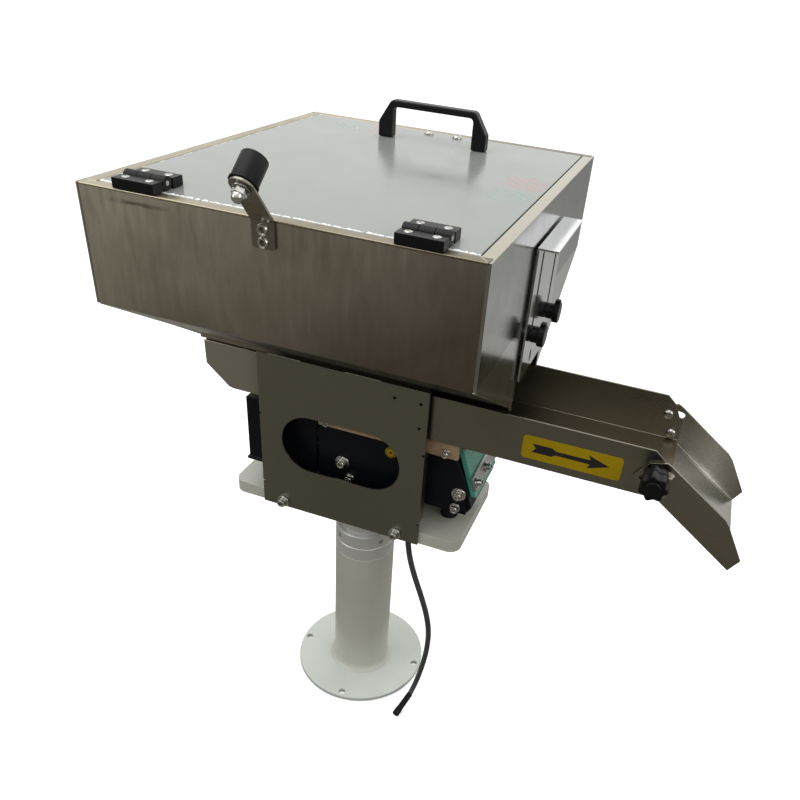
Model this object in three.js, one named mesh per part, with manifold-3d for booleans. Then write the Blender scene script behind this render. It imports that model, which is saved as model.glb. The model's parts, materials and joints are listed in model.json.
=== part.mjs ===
// A hopper feeder for small loose goods. A lidded stainless hopper drops them into a trough that a
// vibrator shakes, and the trough carries them to a tilting spout. The head turns on a round pedestal.
// Millimetres, +Z up, +X along the flow, +Y to the back. The origin is the middle of the foot's underside.
import * as THREE from 'three';
import { mergeVertices } from 'three/addons/utils/BufferGeometryUtils.js';
import Module from 'manifold-3d';

const wasm = await Module();
wasm.setup();

// ---- driving dimensions ----
const GAP = 0.3; // clearance between pieces that rest on each other
const SHEET = 2; // stainless sheet

// pedestal
const FOOT_R = 88;
const FOOT_T = 6;
const FOOT_BOLT_R = 80;
const TUBE_R = 38;
const TUBE_TOP = 211;
const RING_SEAM = 229.5;
const RING_TOP = 248;
const SPINDLE_R = 33;
const SPINDLE_FOOT = 120;

// base plate of the head
const BASE_X = [-146, 142];
const BASE_Y = 68;
const BASE_Z = [294, 310];
const BASE_CORNER = 14;

// side brackets
const BRACKET_X = [-103, 94.5];
const BRACKET_T = 2.5;
const BRACKET_TOP = 492;
const NOTCH_Z = [325, 414];
const WINDOW_X = [-76, 67];
const WINDOW_Z = [354, 425];
const BRACKET_SCREW_X = [-77, 66.5];
const BRACKET_SCREW_Z = 301.5;
const TAB_X = [[-88, -50], [1, 41]];

// trough
const TROUGH_TOP = 485;
const TROUGH_BOTTOM = 432.5;
const TROUGH_X = [-173.5, 343];
const TROUGH_Y = 62;

// spout
const PIVOT = [333.8, 441];
const STUD = [326, 463];
const EAR_Y = 64.8;
const SPOUT_FLOOR = [[341.3, 427.6], [417.5, 373]];

// hopper
const HOPPER_X = 175;
const HOPPER_Y = 206;
const RIM_Z = 682;
const SHOULDER_Z = 579;
const THROAT_Y = 57;
const THROAT_TOP = 489;
const THROAT_BOTTOM = 485.8;
const RIM_W = 11;
const RAIL_Z = 497; // underside of the rails that rest on the brackets' tabs

// lid, hinges and stop
const LID_T = 3;
const LID_GAP = 1.4;
const HINGE_X = 120;
const HINGE_L = 38;
const HINGE_AXIS = [-187, 688];
const KNUCKLE_R = 5.5;
const STOP_X = -4;
const STOP_W = 20;
const STOP_TILT = 50 * Math.PI / 180;
const STOP_BEND_Z = 681;
const BUMPER_R = 10.8;
const BUMPER_H = 23.5;
const HANDLE = { x: 5.8, y: 135.5, half: 62, height: 38.2, width: 13, leg: 16, bar: 6.8 };

// gate
const GATE_X = [177, 178.8];
const GATE_Y = 56;
const GATE_Z = [518, 651];
const GATE_SLOT = [553.5, 643];
const GATE_STUD_Y = 33;
const GATE_STUD_Z = 561.5;
const GATE_STUD_END = 186.4;

// vibrator
const LEAN = Math.tan(19.4 * Math.PI / 180); // springs lean back by this slope
const PACK_T = 6.4;
const STROKE_GAP = 0.9; // clearance of what shakes beside a spring pack
const PACK_X = [-60.5, 124.5]; // left faces of the two spring packs at PACK_REF_Z
const PACK_REF_Z = 409;
const PACK_Y = 40;
const CLAMP_T = 3;
const FEET = [[-114, -19], [-114, 19], [114, -19], [114, 19]];
const FOOT_PAD_R = 10.5;

// cord
const CORD_R = 3.5;
const GLAND = [72, -42];
const CORD_ROUTE = [
  [72, -42, 325.4], [72, -42, 310], [72, -42, 294], [73.2, -42.8, 276], [76.5, -44.5, 257],
  [82, -46.4, 238], [90, -47.6, 216], [99, -48, 192], [107, -47.3, 165], [111.5, -45.5, 135],
  [111, -43, 102], [107.4, -40.6, 70], [102.8, -39.6, 42], [99.2, -42, 24], [96.6, -48, 14],
];
const CONNECTOR = [[95.9, -51.5, 11.6], [88.9, -86, 5.8]];

// ---- materials ----
function metal(color, roughness) {
  return new THREE.MeshStandardMaterial({ color, roughness, metalness: 1 });
}
function plastic(color, roughness) {
  return new THREE.MeshStandardMaterial({ color, roughness, metalness: 0 });
}
const STEEL = metal(0x8d8b84, 0.35);
const ALUMINIUM = metal(0xb9babc, 0.4);
const BRIGHT = metal(0xcfcfcc, 0.25);
const CREAM = plastic(0xd9d7c8, 0.45);
const BLACK = plastic(0x0d0e10, 0.45);
const RUBBER = plastic(0x121212, 0.8);
const TAN = plastic(0xa98a64, 0.5);
const GREEN = plastic(0x2f9f86, 0.4);
const COPPER = metal(0xb0643a, 0.4);
const FILM = plastic(0xb4bab6, 0.3);
const CORD_GREY = plastic(0x3b3b3d, 0.6);

// ---- geometry helpers ----
function solid(geometry) {
  const bare = geometry.index ? geometry.toNonIndexed() : geometry.clone();
  bare.deleteAttribute('normal');
  bare.deleteAttribute('uv');
  const merged = mergeVertices(bare, 1e-4);
  return new wasm.Manifold(new wasm.Mesh({
    numProp: 3,
    vertProperties: new Float32Array(merged.attributes.position.array),
    triVerts: new Uint32Array(merged.index.array),
  }));
}
function unsolid(manifold) {
  const mesh = manifold.getMesh();
  const geometry = new THREE.BufferGeometry();
  geometry.setAttribute('position', new THREE.BufferAttribute(new Float32Array(mesh.vertProperties), 3));
  geometry.setIndex(new THREE.BufferAttribute(new Uint32Array(mesh.triVerts), 1));
  return geometry;
}
function join(...pieces) {
  return unsolid(pieces.map(solid).reduce((all, piece) => all.add(piece)));
}
function cut(piece, ...tools) {
  return unsolid(tools.map(solid).reduce((all, tool) => all.subtract(tool), solid(piece)));
}
function box(x, y, z) {
  const geometry = new THREE.BoxGeometry(x[1] - x[0], y[1] - y[0], z[1] - z[0]);
  return geometry.translate((x[0] + x[1]) / 2, (y[0] + y[1]) / 2, (z[0] + z[1]) / 2);
}
function shapeOf(points) {
  return new THREE.Shape(points.map(([u, v]) => new THREE.Vector2(u, v)));
}
function extrude(shape, depth, curveSegments = 6) {
  return new THREE.ExtrudeGeometry(shape, { depth, bevelEnabled: false, curveSegments });
}
// An outline in X and Z, spanning y.
function plateXZ(shape, y, curveSegments) {
  return extrude(shape, y[1] - y[0], curveSegments).rotateX(Math.PI / 2).translate(0, y[1], 0);
}
// An outline in Y and Z, spanning x.
function plateYZ(shape, x, curveSegments) {
  const turn = new THREE.Matrix4().makeBasis(
    new THREE.Vector3(0, 1, 0), new THREE.Vector3(0, 0, 1), new THREE.Vector3(1, 0, 0));
  return extrude(shape, x[1] - x[0], curveSegments).applyMatrix4(turn).translate(x[0], 0, 0);
}
// A cylinder between two points.
function rod(from, to, radius, sides = 16) {
  const a = new THREE.Vector3(...from);
  const b = new THREE.Vector3(...to);
  const along = b.clone().sub(a);
  const turn = new THREE.Quaternion().setFromUnitVectors(
    new THREE.Vector3(0, 1, 0), along.clone().normalize());
  return new THREE.CylinderGeometry(radius, radius, along.length(), sides)
    .applyQuaternion(turn).translate(...a.add(b).divideScalar(2).toArray());
}
// A turned piece on an axis: profile points are [radius, distance along the axis].
function turned(profile, at, axis, sides = 20) {
  const points = profile.map(([r, h]) => new THREE.Vector2(r, h));
  const turn = new THREE.Quaternion().setFromUnitVectors(
    new THREE.Vector3(0, 1, 0), new THREE.Vector3(...axis).normalize());
  return new THREE.LatheGeometry(points, sides).applyQuaternion(turn).translate(...at);
}
function ring(inner, outer, low, high, at, axis, sides = 24) {
  const profile = [[inner, low], [outer, low], [outer, high], [inner, high], [inner, low]];
  return turned(profile, at, axis, sides);
}
// A bent sheet's section: a path of the outer face, thickened to its left.
function sheetShape(path, thickness) {
  const normals = path.slice(1).map(([x1, y1], i) => {
    const [x0, y0] = path[i];
    const length = Math.hypot(x1 - x0, y1 - y0);
    return [-(y1 - y0) / length, (x1 - x0) / length];
  });
  const inner = path.map(([x, y], i) => {
    const a = normals[Math.max(i - 1, 0)];
    const b = normals[Math.min(i, normals.length - 1)];
    const scale = thickness / (1 + a[0] * b[0] + a[1] * b[1]);
    return [x + (a[0] + b[0]) * scale, y + (a[1] + b[1]) * scale];
  });
  return shapeOf([...path, ...inner.reverse()]);
}
function roundedRect(x, y, radius) {
  const shape = new THREE.Shape();
  shape.moveTo(x[0] + radius, y[0]);
  shape.lineTo(x[1] - radius, y[0]);
  shape.absarc(x[1] - radius, y[0] + radius, radius, -Math.PI / 2, 0);
  shape.lineTo(x[1], y[1] - radius);
  shape.absarc(x[1] - radius, y[1] - radius, radius, 0, Math.PI / 2);
  shape.lineTo(x[0] + radius, y[1]);
  shape.absarc(x[0] + radius, y[1] - radius, radius, Math.PI / 2, Math.PI);
  shape.lineTo(x[0], y[0] + radius);
  shape.absarc(x[0] + radius, y[0] + radius, radius, Math.PI, Math.PI * 1.5);
  return shape;
}
// A socket-head screw: its head stands on the face at `at`, and its shank goes the other way.
function socketScrew(at, axis, size, shank) {
  const profile = [
    [0, -shank], [size / 2, -shank], [size / 2, GAP], [size * 0.8, GAP], [size * 0.8, size + GAP],
    [size * 0.42, size + GAP], [size * 0.42, size * 0.5], [0, size * 0.5],
  ];
  return turned(profile, at, axis, 14);
}
function mirrorY(geometry) {
  const flipped = geometry.clone().applyMatrix4(new THREE.Matrix4().makeScale(1, -1, 1));
  const bare = flipped.index ? flipped.toNonIndexed() : flipped;
  const p = bare.attributes.position.array;
  for (let i = 0; i < p.length; i += 9) {
    for (let k = 0; k < 3; k += 1) {
      [p[i + 3 + k], p[i + 6 + k]] = [p[i + 6 + k], p[i + 3 + k]];
    }
  }
  bare.deleteAttribute('normal');
  bare.deleteAttribute('uv');
  return mergeVertices(bare, 1e-4);
}

const feeder = new THREE.Group();
function add(name, geometry, material) {
  const mesh = new THREE.Mesh(geometry, material);
  mesh.name = name;
  feeder.add(mesh);
}

// ---- pedestal ----
function pedestal() {
  const up = [0, 0, 1];
  const holes = [0, 1, 2, 3].map((i) => {
    const angle = (5 + 90 * i) * Math.PI / 180;
    const x = FOOT_BOLT_R * Math.cos(angle);
    const y = FOOT_BOLT_R * Math.sin(angle);
    return rod([x, y, -1], [x, y, FOOT_T + 1], 4.5, 12);
  });
  add('base_flange', cut(rod([0, 0, 0], [0, 0, FOOT_T], FOOT_R, 48), ...holes), CREAM);
  add('pedestal_tube', ring(TUBE_R - 2, TUBE_R, FOOT_T + GAP, TUBE_TOP, [0, 0, 0], up, 32), CREAM);
  const bore = SPINDLE_R + 0.4;
  const spigot = TUBE_R - 2 - GAP;
  const insert = [
    [bore, 190], [spigot, 190], [spigot, TUBE_TOP + GAP], [TUBE_R, TUBE_TOP + GAP],
    [TUBE_R, RING_SEAM - GAP], [bore, RING_SEAM - GAP], [bore, 190],
  ];
  add('insert_ring', turned(insert, [0, 0, 0], up, 32), ALUMINIUM);
  const tommyHoles = [0, 1, 2, 3].map((i) => {
    const angle = (-125 + 90 * i) * Math.PI / 180;
    const z = (RING_SEAM + RING_TOP) / 2;
    const out = [(TUBE_R + 2) * Math.cos(angle), (TUBE_R + 2) * Math.sin(angle), z];
    const into = [30 * Math.cos(angle), 30 * Math.sin(angle), z];
    return rod(into, out, 3.2, 12);
  });
  const lockRing = ring(bore, TUBE_R, RING_SEAM, RING_TOP, [0, 0, 0], up, 32);
  add('lock_ring', cut(lockRing, ...tommyHoles), ALUMINIUM);
  const spindle = [
    [0, SPINDLE_FOOT], [SPINDLE_R, SPINDLE_FOOT], [SPINDLE_R, 284], [48, 287], [48, BASE_Z[0] - GAP],
    [0, BASE_Z[0] - GAP],
  ];
  add('height_spindle', turned(spindle, [0, 0, 0], up, 32), ALUMINIUM);
}

// ---- base plate and side brackets ----
function bracketScrewSpots() {
  return [-1, 1].flatMap((side) => BRACKET_SCREW_X.map((x) => ({ x, side })));
}
function basePlate() {
  const plate = extrude(roundedRect(BASE_X, [-BASE_Y, BASE_Y], BASE_CORNER), BASE_Z[1] - BASE_Z[0])
    .translate(0, 0, BASE_Z[0]);
  const cordHole = rod([...GLAND, BASE_Z[0] - 1], [...GLAND, BASE_Z[1] + 1], 7, 16);
  const taps = bracketScrewSpots().map(({ x, side }) => rod(
    [x, side * (BASE_Y - 15), BRACKET_SCREW_Z], [x, side * (BASE_Y + 1), BRACKET_SCREW_Z], 3.3, 10));
  add('base_plate', cut(plate, cordHole, ...taps), CREAM);
}
// The front bracket; the back one is its mirror image.
function bracket() {
  const [x0, x1] = BRACKET_X;
  const face = -BASE_Y - GAP - BRACKET_T;
  const y = [face, face + BRACKET_T];
  const bottom = BASE_Z[0];
  const notch = 3;
  const outline = shapeOf([
    [x0, bottom], [x1, bottom], [x1, NOTCH_Z[0] - notch], [x1 - notch, NOTCH_Z[0] - notch],
    [x1 - notch, NOTCH_Z[0]], [x1, NOTCH_Z[0]], [x1, NOTCH_Z[1]], [x1 - notch, NOTCH_Z[1]],
    [x1 - notch, NOTCH_Z[1] + notch], [x1, NOTCH_Z[1] + notch], [x1, BRACKET_TOP], [x0, BRACKET_TOP],
    [x0, NOTCH_Z[1] + notch], [x0 + notch, NOTCH_Z[1] + notch], [x0 + notch, NOTCH_Z[1]],
    [x0, NOTCH_Z[1]], [x0, NOTCH_Z[0]], [x0 + notch, NOTCH_Z[0]], [x0 + notch, NOTCH_Z[0] - notch],
    [x0, NOTCH_Z[0] - notch],
  ]);
  const radius = (WINDOW_Z[1] - WINDOW_Z[0]) / 2;
  outline.holes.push(roundedRect(WINDOW_X, WINDOW_Z, radius - 0.01));
  const plate = plateXZ(outline, y, 8);
  const flange = 10;
  const sides = [[x0, x0 + BRACKET_T], [x1 - BRACKET_T, x1]].map(
    (x) => box(x, [y[1] - 0.5, y[1] + flange], NOTCH_Z));
  const top = box([x0, x1], [y[1] - 0.5, -BASE_Y + 4], [BRACKET_TOP - BRACKET_T, BRACKET_TOP]);
  const tabs = TAB_X.map((x) => box(x, y, [BRACKET_TOP - 1, BRACKET_TOP + 3.4]));
  const through = (x, z, r) => rod([x, y[0] - 1, z], [x, y[1] + 1, z], r, 10);
  const drilled = [[57, 477], [85.7, 477], [85.7, 448]].map(([x, z]) => through(x, z, 1.8));
  const bolted = BRACKET_SCREW_X.map((x) => through(x, BRACKET_SCREW_Z, 3.3));
  return cut(join(plate, ...sides, top, ...tabs), ...drilled, ...bolted);
}
function brackets() {
  const front = bracket();
  add('front_bracket', front, STEEL);
  add('back_bracket', mirrorY(front), STEEL);
  const face = BASE_Y + GAP + BRACKET_T;
  bracketScrewSpots().forEach(({ x, side }, i) => {
    const at = [x, side * (face + 1.6), BRACKET_SCREW_Z];
    const washer = ring(2.5, 6.6, GAP - 1.6, GAP + 0.1, at, [0, side, 0], 16);
    add(`bracket_screw_${i + 1}`, join(socketScrew(at, [0, side, 0], 6, 16), washer), BRIGHT);
  });
}

// ---- vibrator ----
function packFace(z, side) {
  return PACK_X[side] + (PACK_REF_Z - z) * LEAN;
}
// A slab that lies along a leaning spring pack, between two offsets from the pack's left face.
function leaningSlab(side, z, from, to, y) {
  return plateXZ(shapeOf([
    [packFace(z[0], side) + from, z[0]], [packFace(z[0], side) + to, z[0]],
    [packFace(z[1], side) + to, z[1]], [packFace(z[1], side) + from, z[1]],
  ]), y);
}
function vibratorBase() {
  const bottom = 338.3;
  const top = 384;
  const arm = 345;
  const right = (z) => packFace(z, 1) - GAP;
  const left = (z) => packFace(z, 0) + PACK_T + GAP;
  add('vib_base_block', plateXZ(shapeOf([
    [-128, bottom], [141, bottom], [right(346.5), 346.5], [right(top), top], [left(top), top],
    [left(arm), arm], [-128, arm],
  ]), [-46, 46]), BLACK);
  FEET.forEach(([x, y], i) => {
    const foot = rod([x, y, BASE_Z[1] + GAP], [x, y, bottom - GAP], FOOT_PAD_R, 16);
    add(`rubber_foot_${i + 1}`, foot, RUBBER);
  });
  const plate = plateXZ(shapeOf([
    [-41, 338.5], [141.4, 338.5], [136.3, 380.5], [119.5, 419], [-41, 419],
  ]), [-50, -46 - GAP]);
  add('vib_side_plate_front', plate, BLACK);
  add('vib_side_plate_back', mirrorY(plate), BLACK);
  const shell = box([-133, -43], [-50.5, 50.5], [334, 419]);
  const lip = box([-135, -91], [-52.5, 52.5], [334, 338]);
  const hollow = box([-130.5, -40], [-48, 48], [330, 416.5]);
  const springWell = box([-91, -40], [-48, 48], [400, 430]);
  add('vib_end_housing', cut(join(shell, lip), hollow, springWell), BLACK);
}
function magnet() {
  const core = box([-126, -90.5], [-25, 25], [350, 400]);
  const slots = [-1, 1].map((side) => box([-118, -80], [side * 12 - 5, side * 12 + 5], [340, 410]));
  add('magnet_core', join(cut(core, ...slots), box([-126, -116], [-20, 20], [345 + GAP, 351])), STEEL);
  const coil = cut(box([-112, -94], [-16, 16], [346, 404]), box([-120, -80], [-7.5, 7.5], [349, 401]));
  add('magnet_coil', coil, COPPER);
  const armature = join(
    box([-88, -80], [-25, 25], [372, TROUGH_BOTTOM - GAP]),
    box([-88, -70], [-25, 25], [TROUGH_BOTTOM - GAP - 5, TROUGH_BOTTOM - GAP]));
  add('armature', armature, STEEL);
}
function springs() {
  ['left', 'right'].forEach((name, side) => {
    add(`spring_pack_${name}`, leaningSlab(side, [358, 429], 0, PACK_T, [-PACK_Y, PACK_Y]), GREEN);
  });
  ['left', 'right'].forEach((name, side) => {
    const outside = (gap) => (side ? [PACK_T + gap, PACK_T + gap + CLAMP_T] : [-CLAMP_T - gap, -gap]);
    add(`lower_clamp_${name}`, leaningSlab(side, [367, 384], ...outside(GAP), [-42, 42]), ALUMINIUM);
    add(`upper_clamp_${name}`, leaningSlab(side, [417, 427], ...outside(STROKE_GAP), [-42, 42]), ALUMINIUM);
  });
}
function topFrame() {
  const top = TROUGH_BOTTOM - GAP;
  const right = (z) => packFace(z, 1) - STROKE_GAP;
  const left = (z) => packFace(z, 0) + PACK_T + STROKE_GAP;
  const lugs = [
    [[left(405), 405], [-40, 405], [-40, 422], [left(422), 422]],
    [[108, 405], [right(405), 405], [right(422), 422], [108, 422]],
  ].map((points) => plateXZ(shapeOf(points), [-45, 45]));
  const plate = plateXZ(shapeOf([
    [left(421), 421], [right(421), 421], [right(top), top], [left(top), top],
  ]), [-50.5, 50.5]);
  add('top_block', join(plate, ...lugs), STEEL);
  const bar = plateXZ(roundedRect([-39, 127], [410, top], 2), [-54.6, -50.5 - GAP], 3);
  add('top_bar_front', bar, TAN);
  add('top_bar_back', mirrorY(bar), TAN);
}

// ---- trough and spout ----
function trough() {
  const [x0, x1] = TROUGH_X;
  const [top, bottom] = [TROUGH_TOP, TROUGH_BOTTOM];
  const outside = shapeOf([
    [x0, top], [x0 + 0.5, 457], [-146, bottom + 1.2], [-140, bottom], [x1, bottom], [x1, 452],
    [331, 476], [321, top],
  ]);
  const inside = shapeOf([
    [x0 + SHEET, top + 20], [x0 + SHEET + 0.5, 458], [-145, bottom + SHEET + 1], [-139, bottom + SHEET],
    [x1 + 20, bottom + SHEET], [x1 + 20, top + 20],
  ]);
  const inner = TROUGH_Y - SHEET;
  const holes = [PIVOT, STUD].map(([x, z]) => rod([x, -80, z], [x, 80, z], 3.3, 12));
  add('trough', cut(
    plateXZ(outside, [-TROUGH_Y, TROUGH_Y]), plateXZ(inside, [-inner, inner]), ...holes), STEEL);
}
function spout() {
  const [[sx, sz], [ex, ez]] = SPOUT_FLOOR;
  const length = Math.hypot(ex - sx, ez - sz);
  const along = [(ex - sx) / length, (ez - sz) / length];
  const up = [-along[1] * 2.2, along[0] * 2.2];
  const outside = shapeOf([
    [305, 454], [sx, sz], [ex, ez], [426, 388], [405, 424], [399, 431], [338, 474], [334, 476],
    [317.5, 472],
  ]);
  const inside = shapeOf([
    [sx + up[0], sz + up[1]], [ex + up[0] + 20 * along[0], ez + up[1] + 20 * along[1]], [460, 500],
    [290, 500], [290, 440], [sx - up[0] * 2, sz - up[1] * 2],
  ]);
  const inner = EAR_Y - 2.2;
  const radius = Math.hypot(STUD[0] - PIVOT[0], STUD[1] - PIVOT[1]);
  const middle = Math.atan2(STUD[1] - PIVOT[1], STUD[0] - PIVOT[0]);
  const reach = 35 * Math.PI / 180;
  const width = 3.4;
  const slot = new THREE.Shape();
  slot.absarc(PIVOT[0], PIVOT[1], radius + width, middle - reach, middle + reach);
  const far = middle + reach;
  slot.absarc(PIVOT[0] + radius * Math.cos(far), PIVOT[1] + radius * Math.sin(far), width,
    far, far + Math.PI);
  slot.absarc(PIVOT[0], PIVOT[1], radius - width, middle + reach, middle - reach, true);
  const near = middle - reach;
  slot.absarc(PIVOT[0] + radius * Math.cos(near), PIVOT[1] + radius * Math.sin(near), width,
    near + Math.PI, near + 2 * Math.PI);
  add('spout', cut(
    plateXZ(outside, [-EAR_Y, EAR_Y]), plateXZ(inside, [-inner, inner]),
    plateXZ(slot, [-80, 80], 5), rod([PIVOT[0], -80, PIVOT[1]], [PIVOT[0], 80, PIVOT[1]], 3.4, 12)),
  STEEL);
}
// A pan head inside the trough wall, with its shank out through the wall.
function wallScrew([x, z], side, reach) {
  const inner = TROUGH_Y - SHEET - GAP;
  const profile = [
    [0, inner - 3], [3.2, inner - 3], [5.4, inner - 1.4], [5.4, inner], [3, inner], [3, reach], [0, reach],
  ];
  return turned(profile, [x, 0, z], [0, side, 0], 14);
}
function spoutFixings() {
  const nut = ([x, z], side) => ring(2.8, 5.6, EAR_Y + GAP, EAR_Y + 5, [x, 0, z], [0, side, 0], 6);
  const bolt = (spot, side) => join(wallScrew(spot, side, EAR_Y + 6), nut(spot, side));
  add('pivot_screw_front', bolt(PIVOT, -1), BRIGHT);
  add('pivot_screw_back', bolt(PIVOT, 1), BRIGHT);
  add('tilt_screw_back', bolt(STUD, 1), BRIGHT);
  add('knob_stud', wallScrew(STUD, -1, EAR_Y + 26), BRIGHT);
  const lobed = (radius, depth, y) => {
    const shape = new THREE.Shape();
    const steps = 48;
    for (let i = 0; i < steps; i += 1) {
      const angle = 2 * Math.PI * i / steps;
      const r = radius + 1.3 * Math.cos(8 * angle);
      shape[i ? 'lineTo' : 'moveTo'](STUD[0] + r * Math.cos(angle), STUD[1] + r * Math.sin(angle));
    }
    return plateXZ(shape, [y - depth, y]);
  };
  const base = -EAR_Y - 5.8;
  const knob = join(
    rod([STUD[0], base + 5.2, STUD[1]], [STUD[0], base - 26, STUD[1]], 8, 20),
    lobed(11.5, 9, base), lobed(12.5, 14, base - 20));
  const bore = rod([STUD[0], -60, STUD[1]], [STUD[0], -EAR_Y - 27, STUD[1]], 3.3, 12);
  add('star_knob', cut(knob, bore), BLACK);
}

// ---- hopper ----
function hopper() {
  const innerX = HOPPER_X - SHEET - GAP;
  const section = sheetShape([
    [-HOPPER_Y + RIM_W, RIM_Z], [-HOPPER_Y, RIM_Z], [-HOPPER_Y, SHOULDER_Z], [-THROAT_Y, THROAT_TOP],
    [-THROAT_Y, THROAT_BOTTOM],
  ], SHEET);
  const sheet = plateYZ(section, [-innerX, innerX]);
  const rail = plateYZ(shapeOf([
    [-79, RAIL_Z], [-68.5, RAIL_Z], [-68.5, RAIL_Z + 0.4], [-79, RAIL_Z + 6.5],
  ]), [-165, BRACKET_X[1] + 2]);
  const front = join(sheet, rail);
  add('hopper_front_plate', front, STEEL);
  add('hopper_back_plate', mirrorY(front), STEEL);
  const outline = () => shapeOf([
    [-HOPPER_Y, RIM_Z], [-HOPPER_Y, SHOULDER_Z], [-THROAT_Y, THROAT_TOP], [-THROAT_Y, THROAT_BOTTOM],
    [THROAT_Y, THROAT_BOTTOM], [THROAT_Y, THROAT_TOP], [HOPPER_Y, SHOULDER_Z], [HOPPER_Y, RIM_Z],
  ]);
  const rimY = HOPPER_Y - RIM_W - GAP;
  const ledgeZ = [RIM_Z - LID_T - GAP - 3, RIM_Z - LID_T - GAP];
  const wall = (side) => {
    const span = (from, to) => [side * (HOPPER_X - from), side * (HOPPER_X - to)].sort((a, b) => a - b);
    return join(
      plateYZ(outline(), span(SHEET, 0)), box(span(RIM_W, 0.5), [-rimY, rimY], [RIM_Z - SHEET, RIM_Z]),
      box(span(17, 1), [-172, rimY - 3], ledgeZ));
  };
  add('hopper_left_wall', wall(-1), STEEL);
  const outlet = box([HOPPER_X - 10, HOPPER_X + 10], [-52, 52], [THROAT_BOTTOM - 5, 535]);
  const studs = [-GATE_STUD_Y, GATE_STUD_Y].map((y) => rod(
    [HOPPER_X - 1, y, GATE_STUD_Z], [GATE_STUD_END, y, GATE_STUD_Z], 3, 12));
  add('hopper_right_wall', join(cut(wall(1), outlet), ...studs), STEEL);
}

// ---- outlet gate ----
function gate() {
  const outline = roundedRect([-GATE_Y, GATE_Y], GATE_Z, 3);
  [-GATE_STUD_Y, GATE_STUD_Y].forEach((y) => {
    outline.holes.push(roundedRect([y - 3.5, y + 3.5], GATE_SLOT, 3.4));
  });
  [-19, 19].forEach((y) => outline.holes.push(roundedRect([y - 3.2, y + 3.2], [526, 539], 3.1)));
  const flange = box([GATE_X[0], 196], [-GATE_Y, GATE_Y], [GATE_Z[1] - 1.8, GATE_Z[1]]);
  add('gate_plate', join(plateYZ(outline, GATE_X, 4), flange), STEEL);
  [['front', -1], ['back', 1]].forEach(([name, side]) => {
    const y = side * GATE_STUD_Y;
    const knob = join(
      rod([GATE_X[1] + 0.5, y, GATE_STUD_Z], [187, y, GATE_STUD_Z], 8, 16),
      rod([186, y, GATE_STUD_Z], [193, y, GATE_STUD_Z], 10.8, 20),
      box([186.5, 192.5], [y - 3.5, y + 3.5], [GATE_STUD_Z + 5, GATE_STUD_Z + 13.2]));
    const bore = rod([170, y, GATE_STUD_Z], [GATE_STUD_END + GAP, y, GATE_STUD_Z], 3.3, 12);
    add(`gate_knob_${name}`, cut(knob, bore), BLACK);
  });
}

// ---- lid, hinges, handle and stop ----
function lid() {
  const x = HOPPER_X - RIM_W - LID_GAP;
  const y = HOPPER_Y - RIM_W - LID_GAP;
  const top = RIM_Z;
  add('lid_panel', extrude(roundedRect([-x, x], [-y, y], 2), LID_T, 3).translate(0, 0, top - LID_T), FILM);
  const { half, height, width, leg, bar } = HANDLE;
  const base = top + GAP;
  const peak = base + height;
  const inside = half - leg;
  const outline = shapeOf([
    [-half, base], [-inside, base], [-inside, peak - bar - 2.5], [-inside + 2.5, peak - bar],
    [inside - 2.5, peak - bar], [inside, peak - bar - 2.5], [inside, base], [half, base],
    [half, base + 16], [half - 13, peak - 1.5], [half - 16, peak], [-half + 16, peak],
    [-half + 13, peak - 1.5], [-half, base + 16],
  ]);
  const grip = plateXZ(outline, [HANDLE.y - width / 2, HANDLE.y + width / 2]).translate(HANDLE.x, 0, 0);
  add('lid_handle', grip, BLACK);
  add('magnet_catch', box([-22, 28], [171, 186.5], [664, top - LID_T - GAP]), BLACK);
}
function hinges() {
  const [ay, az] = HINGE_AXIS;
  const low = RIM_Z + GAP;
  const third = HINGE_L / 3;
  const knuckle = (x) => rod([x[0], ay, az], [x[1], ay, az], KNUCKLE_R, 18);
  const leafTop = az + 2.6;
  const clear = KNUCKLE_R + 1.5;
  [['left', -HINGE_X], ['right', HINGE_X]].forEach(([name, middle]) => {
    const x = [middle - HINGE_L / 2, middle + HINGE_L / 2];
    const outer = [[x[0], x[0] + third - GAP], [x[1] - third + GAP, x[1]]];
    const inner = [x[0] + third, x[1] - third];
    const bore = rod([x[0] - 2, ay, az], [x[1] + 2, ay, az], 1.8, 10);
    const rimLeaf = join(
      box(x, [-HOPPER_Y, ay - clear], [low, leafTop]),
      ...outer.flatMap((o) => [box(o, [ay - clear - 0.5, ay], [az - 4, az - 0.8]), knuckle(o)]));
    const lidLeaf = join(
      box(x, [ay + clear, ay + 20], [low, leafTop]),
      box(inner, [ay, ay + clear + 0.5], [az - 4, az - 0.8]),
      knuckle(inner));
    add(`hinge_rim_leaf_${name}`, cut(rimLeaf, bore), BLACK);
    add(`hinge_lid_leaf_${name}`, cut(lidLeaf, bore), BLACK);
    add(`hinge_pin_${name}`, rod([x[0] + 0.5, ay, az], [x[1] - 0.5, ay, az], 1.5, 10), BRIGHT);
  });
}
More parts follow.
